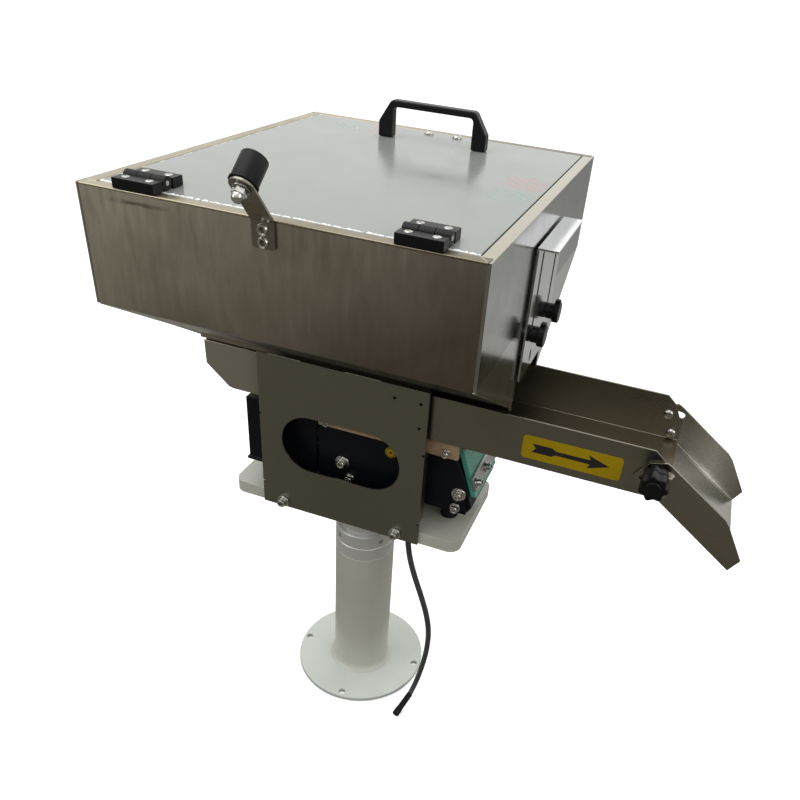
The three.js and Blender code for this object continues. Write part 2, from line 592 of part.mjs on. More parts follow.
function lidStop() {
  const x = [STOP_X - STOP_W / 2, STOP_X + STOP_W / 2];
  const face = -HOPPER_Y - GAP;
  const [tabFoot, tabTop] = [659, STOP_BEND_Z + 1];
  const tab = plateXZ(shapeOf([
    [x[0], tabTop], [x[0], tabFoot + 2.6], [x[0] + 0.8, tabFoot + 0.8], [x[0] + 2.6, tabFoot],
    [x[1] - 2.6, tabFoot], [x[1] - 0.8, tabFoot + 0.8], [x[1], tabFoot + 2.6], [x[1], tabTop],
  ]), [face - SHEET, face]);
  const out = [-Math.cos(STOP_TILT), Math.sin(STOP_TILT)];
  const normal = [Math.sin(STOP_TILT), Math.cos(STOP_TILT)];
  const reach = 39;
  const strip = new THREE.Shape();
  strip.moveTo(-STOP_W / 2, 0);
  strip.lineTo(STOP_W / 2, 0);
  strip.lineTo(STOP_W / 2, reach);
  strip.absarc(0, reach, STOP_W / 2, 0, Math.PI);
  const turn = new THREE.Matrix4().makeBasis(
    new THREE.Vector3(-1, 0, 0), new THREE.Vector3(0, ...out), new THREE.Vector3(0, ...normal));
  const slope = extrude(strip, SHEET, 8).applyMatrix4(turn)
    .translate(STOP_X, face - normal[0] * SHEET, STOP_BEND_Z - normal[1] * SHEET);
  const seat = [STOP_X, face + out[0] * reach, STOP_BEND_Z + out[1] * reach];
  const up = [0, ...normal];
  const screwZ = [674, 664];
  const holes = screwZ.map((z) => rod([STOP_X, face - 5, z], [STOP_X, face + 0.2, z], 2.8, 10));
  const seatHole = turned([[0, -6], [3.3, -6], [3.3, 3], [0, 3]], seat, up, 12);
  add('stop_bracket', cut(join(tab, slope), ...holes, seatHole), STEEL);
  const bumper = [[0, GAP], [BUMPER_R, GAP], [BUMPER_R, BUMPER_H], [BUMPER_R - 1, BUMPER_H + GAP],
    [0, BUMPER_H + GAP]];
  add('stop_bumper', turned(bumper, seat, up, 28), RUBBER);
}

// ---- power cord ----
function cord() {
  const gland = [[4, 0], [6, 0], [7, 4], [7, 11.6], [4, 11.6], [4, 0]];
  add('cable_gland', turned(gland, [...GLAND, 326.2], [0, 0, 1], 16), BLACK);
  const curve = new THREE.CatmullRomCurve3(CORD_ROUTE.map((p) => new THREE.Vector3(...p)));
  const section = new THREE.Shape();
  const sides = 8;
  for (let i = 0; i < sides; i += 1) {
    const angle = 2 * Math.PI * i / sides;
    section[i ? 'lineTo' : 'moveTo'](CORD_R * Math.cos(angle), CORD_R * Math.sin(angle));
  }
  const tube = new THREE.ExtrudeGeometry(section, { extrudePath: curve, steps: 28, bevelEnabled: false });
  add('power_cord', tube, CORD_GREY);
  const [start, end] = CONNECTOR;
  const axis = end.map((value, i) => value - start[i]);
  const length = Math.hypot(...axis);
  const body = [
    [0, 0], [4, 0], [4, length - 12], [4.6, length - 8], [4.6, length - 1], [4, length], [0, length],
  ];
  add('cord_connector', turned(body, start, axis, 14), BLACK);
}

pedestal();
basePlate();
brackets();
vibratorBase();
magnet();
springs();
topFrame();
trough();
spout();
spoutFixings();
hopper();
gate();
lid();
hinges();
lidStop();
cord();

export default feeder;
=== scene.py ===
import json
import math

import bmesh
import bpy
from mathutils import Matrix, Vector


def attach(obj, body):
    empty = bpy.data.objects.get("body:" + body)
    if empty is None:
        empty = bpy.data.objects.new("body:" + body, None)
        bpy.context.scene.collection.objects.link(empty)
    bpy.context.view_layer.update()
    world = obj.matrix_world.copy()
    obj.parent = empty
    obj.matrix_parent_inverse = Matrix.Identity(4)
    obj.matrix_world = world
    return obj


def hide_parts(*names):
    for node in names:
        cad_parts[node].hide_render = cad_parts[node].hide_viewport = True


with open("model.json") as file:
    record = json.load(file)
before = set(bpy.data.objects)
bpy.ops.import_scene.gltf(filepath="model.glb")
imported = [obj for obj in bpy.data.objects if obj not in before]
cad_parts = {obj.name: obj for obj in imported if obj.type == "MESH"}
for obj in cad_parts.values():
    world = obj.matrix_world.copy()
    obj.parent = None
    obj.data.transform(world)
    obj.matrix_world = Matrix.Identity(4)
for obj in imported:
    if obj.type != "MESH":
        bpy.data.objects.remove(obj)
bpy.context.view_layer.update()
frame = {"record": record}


# ---- camera ----
# The view is from above, in front and to the right of the column, and leans a little.
def make_camera():
    spot = (0.2988, -0.7055, 0.8574)
    turn, dip, lean = math.radians(16.4), math.radians(34.15), math.radians(5.7)
    bpy.ops.object.camera_add()
    camera = bpy.context.object
    camera.matrix_world = (
        Matrix.Translation(spot)
        @ Matrix.Rotation(turn, 4, "Z")
        @ Matrix.Rotation(math.pi / 2 - dip, 4, "X")
        @ Matrix.Rotation(lean, 4, "Z")
    )
    camera.data.sensor_width = 36
    camera.data.lens = 34.04
    camera.data.shift_x = -0.0495
    camera.data.shift_y = 0.0833
    camera.data.clip_end = 30
    bpy.context.scene.camera = camera


make_camera()


# ---- power cord ----
# A grey-black vinyl cord leaves a gland under the vibrator, drops through the base plate and hangs
# beside the column to a slim black connector on the floor.
def mm(*values):
    return tuple(value * 0.001 for value in values)


def node(tree, kind, settings=None, **inputs):
    made = tree.nodes.new("ShaderNode" + kind)
    for key, value in (settings or {}).items():
        setattr(made, key, value)
    for key, value in inputs.items():
        socket = made.inputs[int(key[1:]) if key[0] == "_" else key.replace("_", " ")]
        if isinstance(value, bpy.types.NodeSocket):
            tree.links.new(value, socket)
        else:
            socket.default_value = value
    return made


def start_material(name):
    material = bpy.data.materials.new(name)
    material.use_nodes = True
    tree = material.node_tree
    tree.nodes.clear()
    place = node(tree, "TexCoord").outputs["Object"]
    shader = node(tree, "BsdfPrincipled")
    output = node(tree, "OutputMaterial")
    tree.links.new(shader.outputs[0], output.inputs[0])
    return material, tree, place, shader


def noise(tree, place, scale, stretch=(1, 1, 1), detail=4.0):
    spot = node(tree, "Mapping", Vector=place, Scale=stretch)
    return node(tree, "TexNoise", Vector=spot.outputs[0], Scale=scale, Detail=detail).outputs[0]


# A value between floor and ceiling is mapped to low and high, and clamped past them.
def spread(tree, value, low, high, floor=0.3, ceiling=0.7):
    made = node(tree, "MapRange", Value=value, To_Min=low, To_Max=high)
    made.inputs["From Min"].default_value = floor
    made.inputs["From Max"].default_value = ceiling
    return made.outputs[0]


def mix(tree, factor, first, second):
    rgba = [tuple(c) + (1,) if isinstance(c, tuple) and len(c) == 3 else c for c in (first, second)]
    made = node(tree, "Mix", {"data_type": "RGBA"}, _0=factor, _6=rgba[0], _7=rgba[1])
    return made.outputs[2]


# A finish whose colour drifts in blotches, and whose grain shows in the gloss and the relief.
def finish(name, dark, light, rough, metal=0.0, blotch=9, grain=900, stretch=(1, 1, 1),
           relief=0.1, coat=0.0, gloss=0.5):
    material, tree, place, shader = start_material(name)
    drift = spread(tree, noise(tree, place, blotch), 0, 1)
    fine = noise(tree, place, grain, stretch)
    tone = mix(tree, drift, dark, light)
    tone = mix(tree, spread(tree, fine, 0.0, 0.35), tone, light)
    tree.links.new(tone, shader.inputs["Base Color"])
    tree.links.new(spread(tree, fine, *rough), shader.inputs["Roughness"])
    bump = node(tree, "Bump", Strength=relief, Distance=0.0004, Height=fine)
    tree.links.new(bump.outputs[0], shader.inputs["Normal"])
    shader.inputs["Metallic"].default_value = metal
    shader.inputs["Coat Weight"].default_value = coat
    shader.inputs["Specular IOR Level"].default_value = gloss
    return material


def only(thing):
    if bpy.context.mode != "OBJECT":
        bpy.ops.object.mode_set(mode="OBJECT")
    bpy.ops.object.select_all(action="DESELECT")
    thing.select_set(True)
    bpy.context.view_layer.objects.active = thing


def settle(thing, name, material, body, slot, *nodes):
    only(thing)
    bpy.ops.object.transform_apply(location=True, rotation=True, scale=True)
    thing.name = name
    thing.data.name = name
    if material:
        thing.data.materials.clear()
        thing.data.materials.append(material)
    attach(thing, body)
    if nodes:
        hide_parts(*nodes)
    return thing


def smooth(thing, degrees=35):
    only(thing)
    bpy.ops.object.shade_smooth_by_angle(angle=math.radians(degrees))


# A round piece on the Z axis: a ring of points is extruded and resized through the profile's
# steps of radius and height.
def turned(profile, sides=64, hollow=False):
    radius, height = profile[0]
    bpy.ops.object.select_all(action="DESELECT")
    bpy.ops.mesh.primitive_circle_add(vertices=sides, radius=radius, location=(0, 0, height))
    thing = bpy.context.object
    bpy.ops.object.transform_apply(location=True)
    bpy.ops.object.mode_set(mode="EDIT")
    bpy.ops.mesh.select_all(action="SELECT")
    for next_radius, next_height in profile[1:]:
        rise = (0, 0, next_height - height)
        bpy.ops.mesh.extrude_region_move(TRANSFORM_OT_translate={"value": rise})
        factor = next_radius / radius
        bpy.ops.transform.resize(value=(factor, factor, 1), center_override=(0, 0, next_height))
        radius, height = next_radius, next_height
    bpy.ops.mesh.select_all(action="SELECT")
    if hollow:
        bpy.ops.mesh.remove_doubles(threshold=1e-6)
    else:
        bpy.ops.mesh.fill_holes(sides=0)
    bpy.ops.mesh.normals_make_consistent(inside=False)
    bpy.ops.object.mode_set(mode="OBJECT")
    smooth(thing)
    return thing


# Turns a piece that was made on the Z axis to another axis, with its foot on `at`.
def aim(thing, at, axis):
    turn = Vector((0, 0, 1)).rotation_difference(Vector(axis)).to_matrix().to_4x4()
    thing.matrix_world = Matrix.Translation(Vector(at)) @ turn @ thing.matrix_world
    only(thing)
    bpy.ops.object.transform_apply(location=True, rotation=True, scale=True)
    return thing


black_plastic = finish(
    "black_plastic", (0.003, 0.003, 0.0035), (0.007, 0.007, 0.008), (0.28, 0.42), grain=1500,
    relief=0.08, gloss=0.22)

CORD_RADIUS = 0.0035
CORD_ROUTE = [
    (72, -42, 325.4), (72, -42, 310), (72, -42, 294), (73.2, -42.8, 276), (76.5, -44.5, 257),
    (82, -46.4, 238), (90, -47.6, 216), (99, -48, 192), (107, -47.3, 165), (111.5, -45.5, 135),
    (111, -43, 102), (107.4, -40.6, 70), (102.8, -39.6, 42), (99.2, -42, 24), (96.6, -48, 14),
    (95.9, -51.5, 11.6), (95.3, -54.5, 11.1),
]


# A Catmull-Rom curve through the points.
def smooth_route(points, steps):
    ends = [2 * points[0] - points[1]] + points + [2 * points[-1] - points[-2]]
    route = []
    for a, b, c, d in zip(ends, ends[1:], ends[2:], ends[3:]):
        for i in range(steps):
            t = i / steps
            route.append(0.5 * (2 * b + (c - a) * t + (2 * a - 5 * b + 4 * c - d) * t * t
                                + (3 * b - a - 3 * c + d) * t ** 3))
    return route + [points[-1]]


def make_cord():
    route = smooth_route([Vector(mm(*point)) for point in CORD_ROUTE], 6)
    curve = bpy.data.curves.new("cord", "CURVE")
    curve.dimensions = "3D"
    curve.bevel_depth = CORD_RADIUS
    curve.bevel_resolution = 5
    curve.use_fill_caps = True
    line = curve.splines.new("POLY")
    line.points.add(len(route) - 1)
    for point, place in zip(line.points, route):
        point.co = (*place, 1)
    line.use_smooth = True
    cord = bpy.data.objects.new("cord", curve)
    bpy.context.collection.objects.link(cord)
    jacket = finish("cord_jacket", (0.050, 0.051, 0.054), (0.068, 0.069, 0.073), (0.4, 0.55),
                    grain=1200, gloss=0.25)
    curve.materials.append(jacket)
    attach(cord, "head")
    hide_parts("power_cord")

    start, end = Vector(mm(95.9, -51.5, 11.6)), Vector(mm(88.9, -86, 5.8))
    reach = (end - start).length
    profile = [(0.0036, 0), (0.0040, 0.0004), (0.0040, reach - 0.012), (0.0046, reach - 0.008)]
    profile += [(0.0046, reach - 0.001), (0.0042, reach - 0.0003), (0.0036, reach)]
    connector = aim(turned(profile, 32), start, end - start)
    settle(connector, "connector", black_plastic, "head", "black_plastic", "cord_connector")
    profile = [(0.0040, 0), (0.0058, 0), (0.0058, 0.0034), (0.0070, 0.0036), (0.0070, 0.0112),
               (0.0066, 0.0116), (0.0040, 0.0116), (0.0040, 0)]
    gland = turned(profile, 36, hollow=True)
    gland.location = mm(72, -42, 326.2)
    settle(gland, "gland", black_plastic, "head", "black_plastic", "cable_gland")


make_cord()


# ---- pedestal ----
# A round cream foot plate is welded to a cream tube, and its four holes take floor bolts.
# An aluminium insert and a lock ring at the top hold the spindle that carries the head.
FOOT_R, FOOT_T = 0.088, 0.006
BOLT_RING, BOLT_HOLE_R = 0.08, 0.0045
TUBE_R, TUBE_BORE_R = 0.038, 0.036
RING_BORE_R = 0.0334
SPINDLE_R = 0.033
LOCK_HOLE_Z = 0.2388


def bored(thing, *tools):
    for tool in tools:
        only(thing)
        cut = thing.modifiers.new("bore", "BOOLEAN")
        cut.operation = "DIFFERENCE"
        cut.object = tool
        cut.solver = "EXACT"
        bpy.ops.object.modifier_apply(modifier="bore")
        bpy.data.objects.remove(tool)
    return thing


def rod(radius, start, end, sides=32):
    start, end = Vector(start), Vector(end)
    bpy.ops.object.select_all(action="DESELECT")
    bpy.ops.mesh.primitive_cylinder_add(vertices=sides, radius=radius, depth=(end - start).length)
    return aim(bpy.context.object, (start + end) / 2, end - start)


cream_paint = finish(
    "cream_paint", (0.49, 0.49, 0.425), (0.57, 0.575, 0.51), (0.3, 0.42), grain=700, relief=0.06,
    coat=0.25)
# A lighter, cooler copy of the cream paint: painted light for the foot plate's upward face.
lit_cream_paint = finish(
    "lit_cream_paint", (0.54, 0.575, 0.53), (0.64, 0.675, 0.63), (0.3, 0.42), grain=700, relief=0.06,
    coat=0.25)
turned_aluminium = finish(
    "turned_aluminium", (0.66, 0.67, 0.66), (0.80, 0.81, 0.80), (0.28, 0.4), 0.55, grain=60,
    stretch=(0.3, 0.3, 60), relief=0.03)


def around(turn, radius, z):
    return Vector((radius * math.cos(turn), radius * math.sin(turn), z))


def make_pedestal():
    rim = FOOT_R - 0.0008
    disc = turned([(rim, 0), (FOOT_R, 0.0006), (FOOT_R, FOOT_T - 0.0008), (rim, FOOT_T)], 128)
    turns = [math.radians(5 + 90 * i) for i in range(4)]
    foot = bored(disc, *[
        rod(BOLT_HOLE_R, around(turn, BOLT_RING, -0.002), around(turn, BOLT_RING, 0.008))
        for turn in turns])
    settle(foot, "foot_plate", lit_cream_paint, "pedestal", "cream_paint", "base_flange")
    smooth(foot)
    weld = [(0.0381, 0.0062), (0.0440, 0.0062), (0.0422, 0.0074), (0.0402, 0.0090),
            (0.0388, 0.0112), (0.0382, 0.0138)]
    settle(turned(weld, 96), "foot_weld", cream_paint, "pedestal", "cream_paint")
    tube = [(TUBE_BORE_R, 0.0063), (TUBE_R, 0.0063), (TUBE_R, 0.2102), (0.0374, 0.211),
            (TUBE_BORE_R, 0.211), (TUBE_BORE_R, 0.0063)]
    settle(turned(tube, 96, hollow=True), "tube", cream_paint, "pedestal", "cream_paint",
           "pedestal_tube")
    insert = [(RING_BORE_R, 0.190), (0.0357, 0.190), (0.0357, 0.2113), (0.0374, 0.2113),
              (TUBE_R, 0.2120), (TUBE_R, 0.2285), (0.0374, 0.2292), (RING_BORE_R, 0.2292),
              (RING_BORE_R, 0.190)]
    settle(turned(insert, 96, hollow=True), "insert", turned_aluminium, "pedestal",
           "turned_aluminium", "insert_ring")
    ring = [(RING_BORE_R, 0.2295), (0.0373, 0.2295), (TUBE_R, 0.2303), (TUBE_R, 0.2472),
            (0.0372, 0.248), (RING_BORE_R, 0.248), (RING_BORE_R, 0.2295)]
    turns = [math.radians(-125 + 90 * i) for i in range(4)]
    lock = bored(turned(ring, 96, hollow=True), *[
        rod(0.0033, around(turn, 0.03, LOCK_HOLE_Z), around(turn, 0.041, LOCK_HOLE_Z), 24)
        for turn in turns])
    settle(lock, "lock_collar", turned_aluminium, "lock_ring", "turned_aluminium", "lock_ring")
    smooth(lock)
    spindle = [(0.0322, 0.120), (SPINDLE_R, 0.1208), (SPINDLE_R, 0.284), (0.048, 0.2866),
               (0.048, 0.2932), (0.0475, 0.2937)]
    settle(turned(spindle, 96), "spindle_post", turned_aluminium, "spindle", "turned_aluminium",
           "height_spindle")


make_pedestal()


# ---- screws ----
# Zinc-bright socket-head screws stand on flat washers. One screw and one washer are modelled, and
# the others are copies of them.
def rounded(thing, width, segments=2, degrees=30):
    only(thing)
    bevel = thing.modifiers.new("edges", "BEVEL")
    bevel.width = width
    bevel.segments = segments
    bevel.limit_method = "ANGLE"
    bevel.angle_limit = math.radians(degrees)
    bevel.harden_normals = False
    bpy.ops.object.modifier_apply(modifier="edges")
    smooth(thing)
    weigh = thing.modifiers.new("flats", "WEIGHTED_NORMAL")
    weigh.keep_sharp = True
    bpy.ops.object.modifier_apply(modifier="flats")
    return thing


bright_zinc = finish(
    "bright_zinc", (0.42, 0.41, 0.38), (0.70, 0.69, 0.66), (0.14, 0.24), 1.0, blotch=160,
    grain=1500, relief=0.02)


# One unit is the thread's size, and the head stands on z = 0.
def cap_screw_master():
    head = turned([(0.74, 0), (0.8, 0.05), (0.8, 0.88), (0.7, 1.0)], 40)
    bpy.ops.object.select_all(action="DESELECT")
    bpy.ops.mesh.primitive_cylinder_add(vertices=6, radius=0.48, depth=1.4, location=(0, 0, 0.85))
    return rounded(bored(head, bpy.context.object), 0.03, 1)


# One unit is the washer's radius, and it lies on z = 0.
WASHER_T = 0.26


def washer_master():
    edge = [(0.55, 0), (1.0, 0), (1.03, 0.04), (1.03, 0.22), (1.0, WASHER_T), (0.55, WASHER_T),
            (0.55, 0)]
    return turned(edge, 40, hollow=True)


screw_master, washer_plate = cap_screw_master(), washer_master()


def copied(master, scale, at, axis):
    made = master.copy()
    made.data = master.data.copy()
    bpy.context.collection.objects.link(made)
    made.matrix_world = Matrix.Scale(scale, 4)
    return aim(made, at, axis)


def joined(things):
    only(things[0])
    for thing in things[1:]:
        thing.select_set(True)
    if len(things) > 1:
        bpy.ops.object.join()
    return things[0]


# A screw of that thread size on the face at `at`, with a washer of that radius under its head.
def cap_screw(at, axis, size, washer=0.0):
    at, axis = Vector(at), Vector(axis).normalized()
    parts = []
    lift = 0.0
    if washer:
        parts.append(copied(washer_plate, washer, at, axis))
        lift = washer * WASHER_T
    parts.append(copied(screw_master, size, at + axis * lift, axis))
    return joined(parts)


# ---- base plate and side brackets ----
# The base plate is thick steel with a cream coat. The brackets are laser-cut stainless sheet,
# folded at the top and sides, and hold the hopper over the trough.
BRACKET_FACE = 0.0711
BRACKET_BOLTS = [(x, side) for side in (-1, 1) for x in (-0.077, 0.0665)]
BRACKET_BOLT_Z = 0.3015


def body_lists():
    behaviour = frame["record"]["behaviour"]
    return {body: list(nodes) for body, nodes in behaviour["bodies"].items()}


BODIES = body_lists()
SLOTS = {row["node"]: row["material_slot"] for row in frame["record"]["subparts"]}


# A piece that starts from its CAD solid: coplanar faces are merged and every edge is rounded.
def softened(name, width, material, segments=2):
    source = bpy.data.objects[name]
    made = source.copy()
    made.data = source.data.copy()
    bpy.context.collection.objects.link(made)
    only(made)
    bpy.ops.object.mode_set(mode="EDIT")
    bpy.ops.mesh.select_all(action="SELECT")
    bpy.ops.mesh.remove_doubles(threshold=2e-6)
    bpy.ops.mesh.dissolve_limited(angle_limit=math.radians(1))
    bpy.ops.object.mode_set(mode="OBJECT")
    rounded(made, width, segments)
    body = next(b for b, nodes in BODIES.items() if name in nodes)
    return settle(made, name + "_shape", material, body, SLOTS[name], name)


bracket_steel = finish(
    "bracket_steel", (0.245, 0.232, 0.186), (0.285, 0.27, 0.222), (0.3, 0.36), 1.0, blotch=4,
    grain=60, stretch=(0.5, 1, 20), relief=0.01)
softened("base_plate", 0.0014, cream_paint, 3)
softened("front_bracket", 0.00035, bracket_steel)
softened("back_bracket", 0.00035, bracket_steel)


def bracket_hardware():
    for i, (x, side) in enumerate(BRACKET_BOLTS):
        at = (x, side * BRACKET_FACE, BRACKET_BOLT_Z)
        screw = cap_screw(at, (0, side, 0), 0.006, 0.0072)
        settle(screw, f"bracket_bolt_{i + 1}", bright_zinc, "head", "bright_screws",
               f"bracket_screw_{i + 1}")


bracket_hardware()


# ---- vibrator ----
# A cast base block stands on four rubber feet between two black side plates, with the magnet under
# a black housing. Two packs of green glass-fibre leaf springs carry the tan bars under the trough.
PLATE_FACE = 0.050
SPRING_LEAN = math.tan(math.radians(19.4))
SPRING_MIDDLE_Z = 0.409
STICKER_AT = (0.048, -0.05002, 0.395)
black_paint = finish(
    "black_paint", (0.003, 0.0035, 0.006), (0.006, 0.007, 0.010), (0.3, 0.42), grain=500,
    relief=0.06, gloss=0.15)
rubber = finish(
    "rubber", (0.004, 0.004, 0.004), (0.008, 0.008, 0.008), (0.34, 0.5), grain=1100, relief=0.06,
    gloss=0.2)
cast_aluminium = finish(
    "cast_aluminium", (0.42, 0.42, 0.41), (0.55, 0.55, 0.54), (0.34, 0.5), 1.0, blotch=40,
    grain=900, relief=0.15)
plain_steel = finish(
    "plain_steel", (0.30, 0.30, 0.30), (0.42, 0.42, 0.41), (0.28, 0.42), 1.0, blotch=30, grain=90,
    stretch=(1, 20, 1), relief=0.06)
coil_wire = finish(
    "coil_wire", (0.28, 0.10, 0.04), (0.42, 0.17, 0.07), (0.3, 0.45), grain=200, stretch=(1, 1, 12),
    relief=0.3)
glass_fibre = finish(
    "glass_fibre", (0.07, 0.40, 0.29), (0.13, 0.56, 0.43), (0.22, 0.36), blotch=30, grain=350,
    stretch=(1, 4, 1), relief=0.1, coat=0.3)
tan_laminate = finish(
    "tan_laminate", (0.36, 0.24, 0.14), (0.50, 0.35, 0.21), (0.35, 0.5), blotch=25, grain=160,
    stretch=(1, 6, 14), relief=0.12)


def make_vibrator():
    softened("vib_base_block", 0.0008, black_paint)
    for side in ("front", "back"):
        softened("vib_side_plate_" + side, 0.0006, black_paint)
    softened("vib_end_housing", 0.0016, black_paint, 3)
    softened("top_block", 0.0005, plain_steel)
    for side in ("front", "back"):
        softened("top_bar_" + side, 0.0006, tan_laminate)
    for side in ("left", "right"):
        softened("spring_pack_" + side, 0.0005, glass_fibre)
        softened("lower_clamp_" + side, 0.0008, cast_aluminium)
        softened("upper_clamp_" + side, 0.0008, cast_aluminium)
    softened("magnet_core", 0.0004, plain_steel)
    softened("armature", 0.0004, plain_steel)
    softened("magnet_coil", 0.0015, coil_wire)


make_vibrator()


def make_rubber_feet():
    low, high = 0.3103, 0.338
    belly = [(0.0098, low), (0.0105, low + 0.001), (0.0103, low + 0.006),
             (0.0096, (low + high) / 2), (0.0103, high - 0.006), (0.0105, high - 0.001),
             (0.0098, high)]
    spots = [(x, y) for x in (-0.114, 0.114) for y in (-0.019, 0.019)]
    for i, (x, y) in enumerate(spots):
        foot = turned(belly, 48)
        foot.location = (x, y, 0)
        settle(foot, f"foot_pad_{i + 1}", rubber, "head", "black_rubber", f"rubber_foot_{i + 1}")


make_rubber_feet()


# Three screws on each spring pack, square to its lean.
def clamp_screws(z):
    made = []
    for x, thick, way in ((-0.0605, -0.0034, -1), (0.1245, 0.0098, 1)):
        for y in (-0.035, 0, 0.035):
            spot = (x + (SPRING_MIDDLE_Z - z) * SPRING_LEAN + thick, y, z)
            made.append(cap_screw(spot, (way, 0, way * SPRING_LEAN), 0.0052, 0.0058))
    return made


def vibrator_screws():
    rows = [(-0.010, 0.365, 0.006, 0.0085), (0.131, 0.365, 0.006, 0.0080),
            (0.1285, 0.3455, 0.0055, 0.0058), (-0.001, 0.3455, 0.0055, 0.0058)]
    fixed = [cap_screw((x, side * PLATE_FACE, z), (0, side, 0), size, washer)
             for side in (-1, 1) for x, z, size, washer in rows]
    settle(joined(fixed + clamp_screws(0.3755)), "vibrator_fixed_screws", bright_zinc, "head",
           "bright_screws")
    moving = clamp_screws(0.422)
    for side in (-1, 1):
        for x in (-0.027, 0.113):
            moving.append(cap_screw((x, side * 0.0546, 0.4165), (0, side, 0), 0.005, 0.0052))
    settle(joined(moving), "vibrator_moving_screws", bright_zinc, "trough", "bright_screws")


vibrator_screws()


def make_sticker():
    yellow = finish("sticker_yellow", (0.36, 0.245, 0.002), (0.44, 0.30, 0.003), (0.35, 0.45),
                    gloss=0.2)
    ink = finish("label_ink", (0.008, 0.008, 0.008), (0.014, 0.014, 0.014), (0.3, 0.4))
    disc = turned([(0.0066, 0), (0.0066, 0.0003), (0.0062, 0.0004)], 48)
    settle(aim(disc, STICKER_AT, (0, -1, 0)), "sticker", yellow, "head", "black_paint")
    low, high = 0.0002, 0.00055
    ring = [(0.0050, low), (0.0057, low), (0.0057, high), (0.0050, high), (0.0050, low)]
    marks = [turned(ring, 48, hollow=True), turned([(0.0024, low), (0.0024, high)], 3)]
    marks = [aim(mark, STICKER_AT, (0, -1, 0)) for mark in marks]
    settle(joined(marks), "sticker_mark", ink, "head", "black_paint")
    return yellow, ink


sticker_yellow, label_ink = make_sticker()


# ---- trough, label and spout ----
# The trough and spout are folded stainless sheet, brushed along their length. A yellow label with a
# black arrow shows the way that the goods run.
TROUGH_SIDE = 0.062
PIVOT, STUD = (0.3338, 0.441), (0.326, 0.463)


def math_node(tree, operation, first, second=0.0, third=0.0):
    made = node(tree, "Math", {"operation": operation}, _0=first, _1=second, _2=third)
    return made.outputs[0]


def darkened(tree, factor, tone, colour):
    made = node(tree, "Mix", {"data_type": "RGBA", "blend_type": "MULTIPLY"}, _0=factor, _6=tone,
                _7=tuple(colour) + (1,))
    return made.outputs[2]


# Bare metal with long brush streaks, duller scuffs, and painted light and shade for its own places.
def brushed(name, dark, light, rough, stretch, blotch=6, scuff=0.3, relief=0.02, streaks=0.4,
            shade=None):
    material, tree, place, shader = start_material(name)
    drift = spread(tree, noise(tree, place, blotch, detail=5.0), 0, 1, 0.35, 0.68)
    streak = noise(tree, place, 40, stretch, 3.0)
    cloud = noise(tree, place, 24, detail=5.0)
    tone = mix(tree, drift, dark, light)
    tone = mix(tree, spread(tree, streak, 0, streaks), tone, light)
    tone = mix(tree, spread(tree, cloud, 0, scuff, 0.55, 0.8), tone, dark)
    if shade:
        tone = shade(tree, node(tree, "SeparateXYZ", Vector=place).outputs, tone)
    tree.links.new(tone, shader.inputs["Base Color"])
    gloss = math_node(tree, "ADD", spread(tree, streak, *rough), spread(tree, cloud, -0.01, 0.03))
    tree.links.new(gloss, shader.inputs["Roughness"])
    bump = node(tree, "Bump", Strength=relief, Distance=0.0003, Height=streak)
    tree.links.new(bump.outputs[0], shader.inputs["Normal"])
    shader.inputs["Metallic"].default_value = 1.0
    return material


# Painted shade darkens the front outside, the floor more; painted light brightens the back end.
def painted_trough_shade(tree, xyz, tone):
    # painted shade on the outside that faces the front
    outside = math_node(tree, "LESS_THAN", xyz[1], -0.0605)
    along = spread(tree, xyz[0], 0, 1, -0.12, -0.08)
    tone = darkened(tree, math_node(tree, "MULTIPLY", outside, along), tone, (0.74, 0.72, 0.65))
    # painted shade on the floor inside
    within = math_node(tree, "LESS_THAN", math_node(tree, "ABSOLUTE", xyz[1]), 0.0595)
    floor = math_node(tree, "MULTIPLY", within, spread(tree, xyz[2], 1, 0, 0.4345, 0.437))
    tone = darkened(tree, floor, tone, (0.50, 0.44, 0.34))
    # painted light at the back end
    return mix(tree, spread(tree, xyz[0], 0.6, 0, -0.125, -0.095), tone, (0.60, 0.57, 0.49))


# Painted shade darkens the spout's near side; a painted reflection brightens inside its far side.
def painted_spout_light(tree, xyz, tone):
    # painted shade on the near side
    near = math_node(tree, "LESS_THAN", xyz[1], -0.0625)
    tone = darkened(tree, near, tone, (0.72, 0.69, 0.63))
    # a painted reflection inside the far side, brightest in the middle
    middle = math_node(tree, "ABSOLUTE", math_node(tree, "SUBTRACT", xyz[0], 0.385))
    far = math_node(tree, "GREATER_THAN", xyz[1], 0.055)
    painted_reflection = math_node(tree, "MULTIPLY", far, spread(tree, middle, 1, 0, 0.0, 0.035))
    return mix(tree, painted_reflection, tone, (0.96, 0.94, 0.90))


trough_steel = brushed(
    "trough_steel", (0.33, 0.315, 0.275), (0.39, 0.375, 0.33), (0.27, 0.31), (0.3, 8, 8),
    scuff=0.08, relief=0.002, streaks=0.25, shade=painted_trough_shade)
spout_steel = brushed(
    "spout_steel", (0.36, 0.345, 0.305), (0.46, 0.445, 0.40), (0.22, 0.27), (1, 8, 8),
    scuff=0.1, relief=0.002, shade=painted_spout_light)
softened("trough", 0.0004, trough_steel)
softened("spout", 0.0004, spout_steel)


# A thin plate on an XZ outline in millimetres, from y and forward by its thickness.
def flat_shape(points, y, thick):
    mesh = bpy.data.meshes.new("plate")
    made = bpy.data.objects.new("plate", mesh)
    bpy.context.collection.objects.link(made)
    shape = bmesh.new()
    corners = [shape.verts.new(mm(u, y, v)) for u, v in points]
    shape.faces.new(corners)
    shape.to_mesh(mesh)
    shape.free()
    only(made)
    bpy.ops.object.mode_set(mode="EDIT")
    bpy.ops.mesh.select_all(action="SELECT")
    bpy.ops.mesh.extrude_region_move(TRANSFORM_OT_translate={"value": mm(0, -thick, 0)})
    bpy.ops.mesh.select_all(action="SELECT")
    bpy.ops.mesh.normals_make_consistent(inside=False)
    bpy.ops.object.mode_set(mode="OBJECT")
    return made


def box_outline(left, right, low, high):
    return [(left, low), (right, low), (right, high), (left, high)]


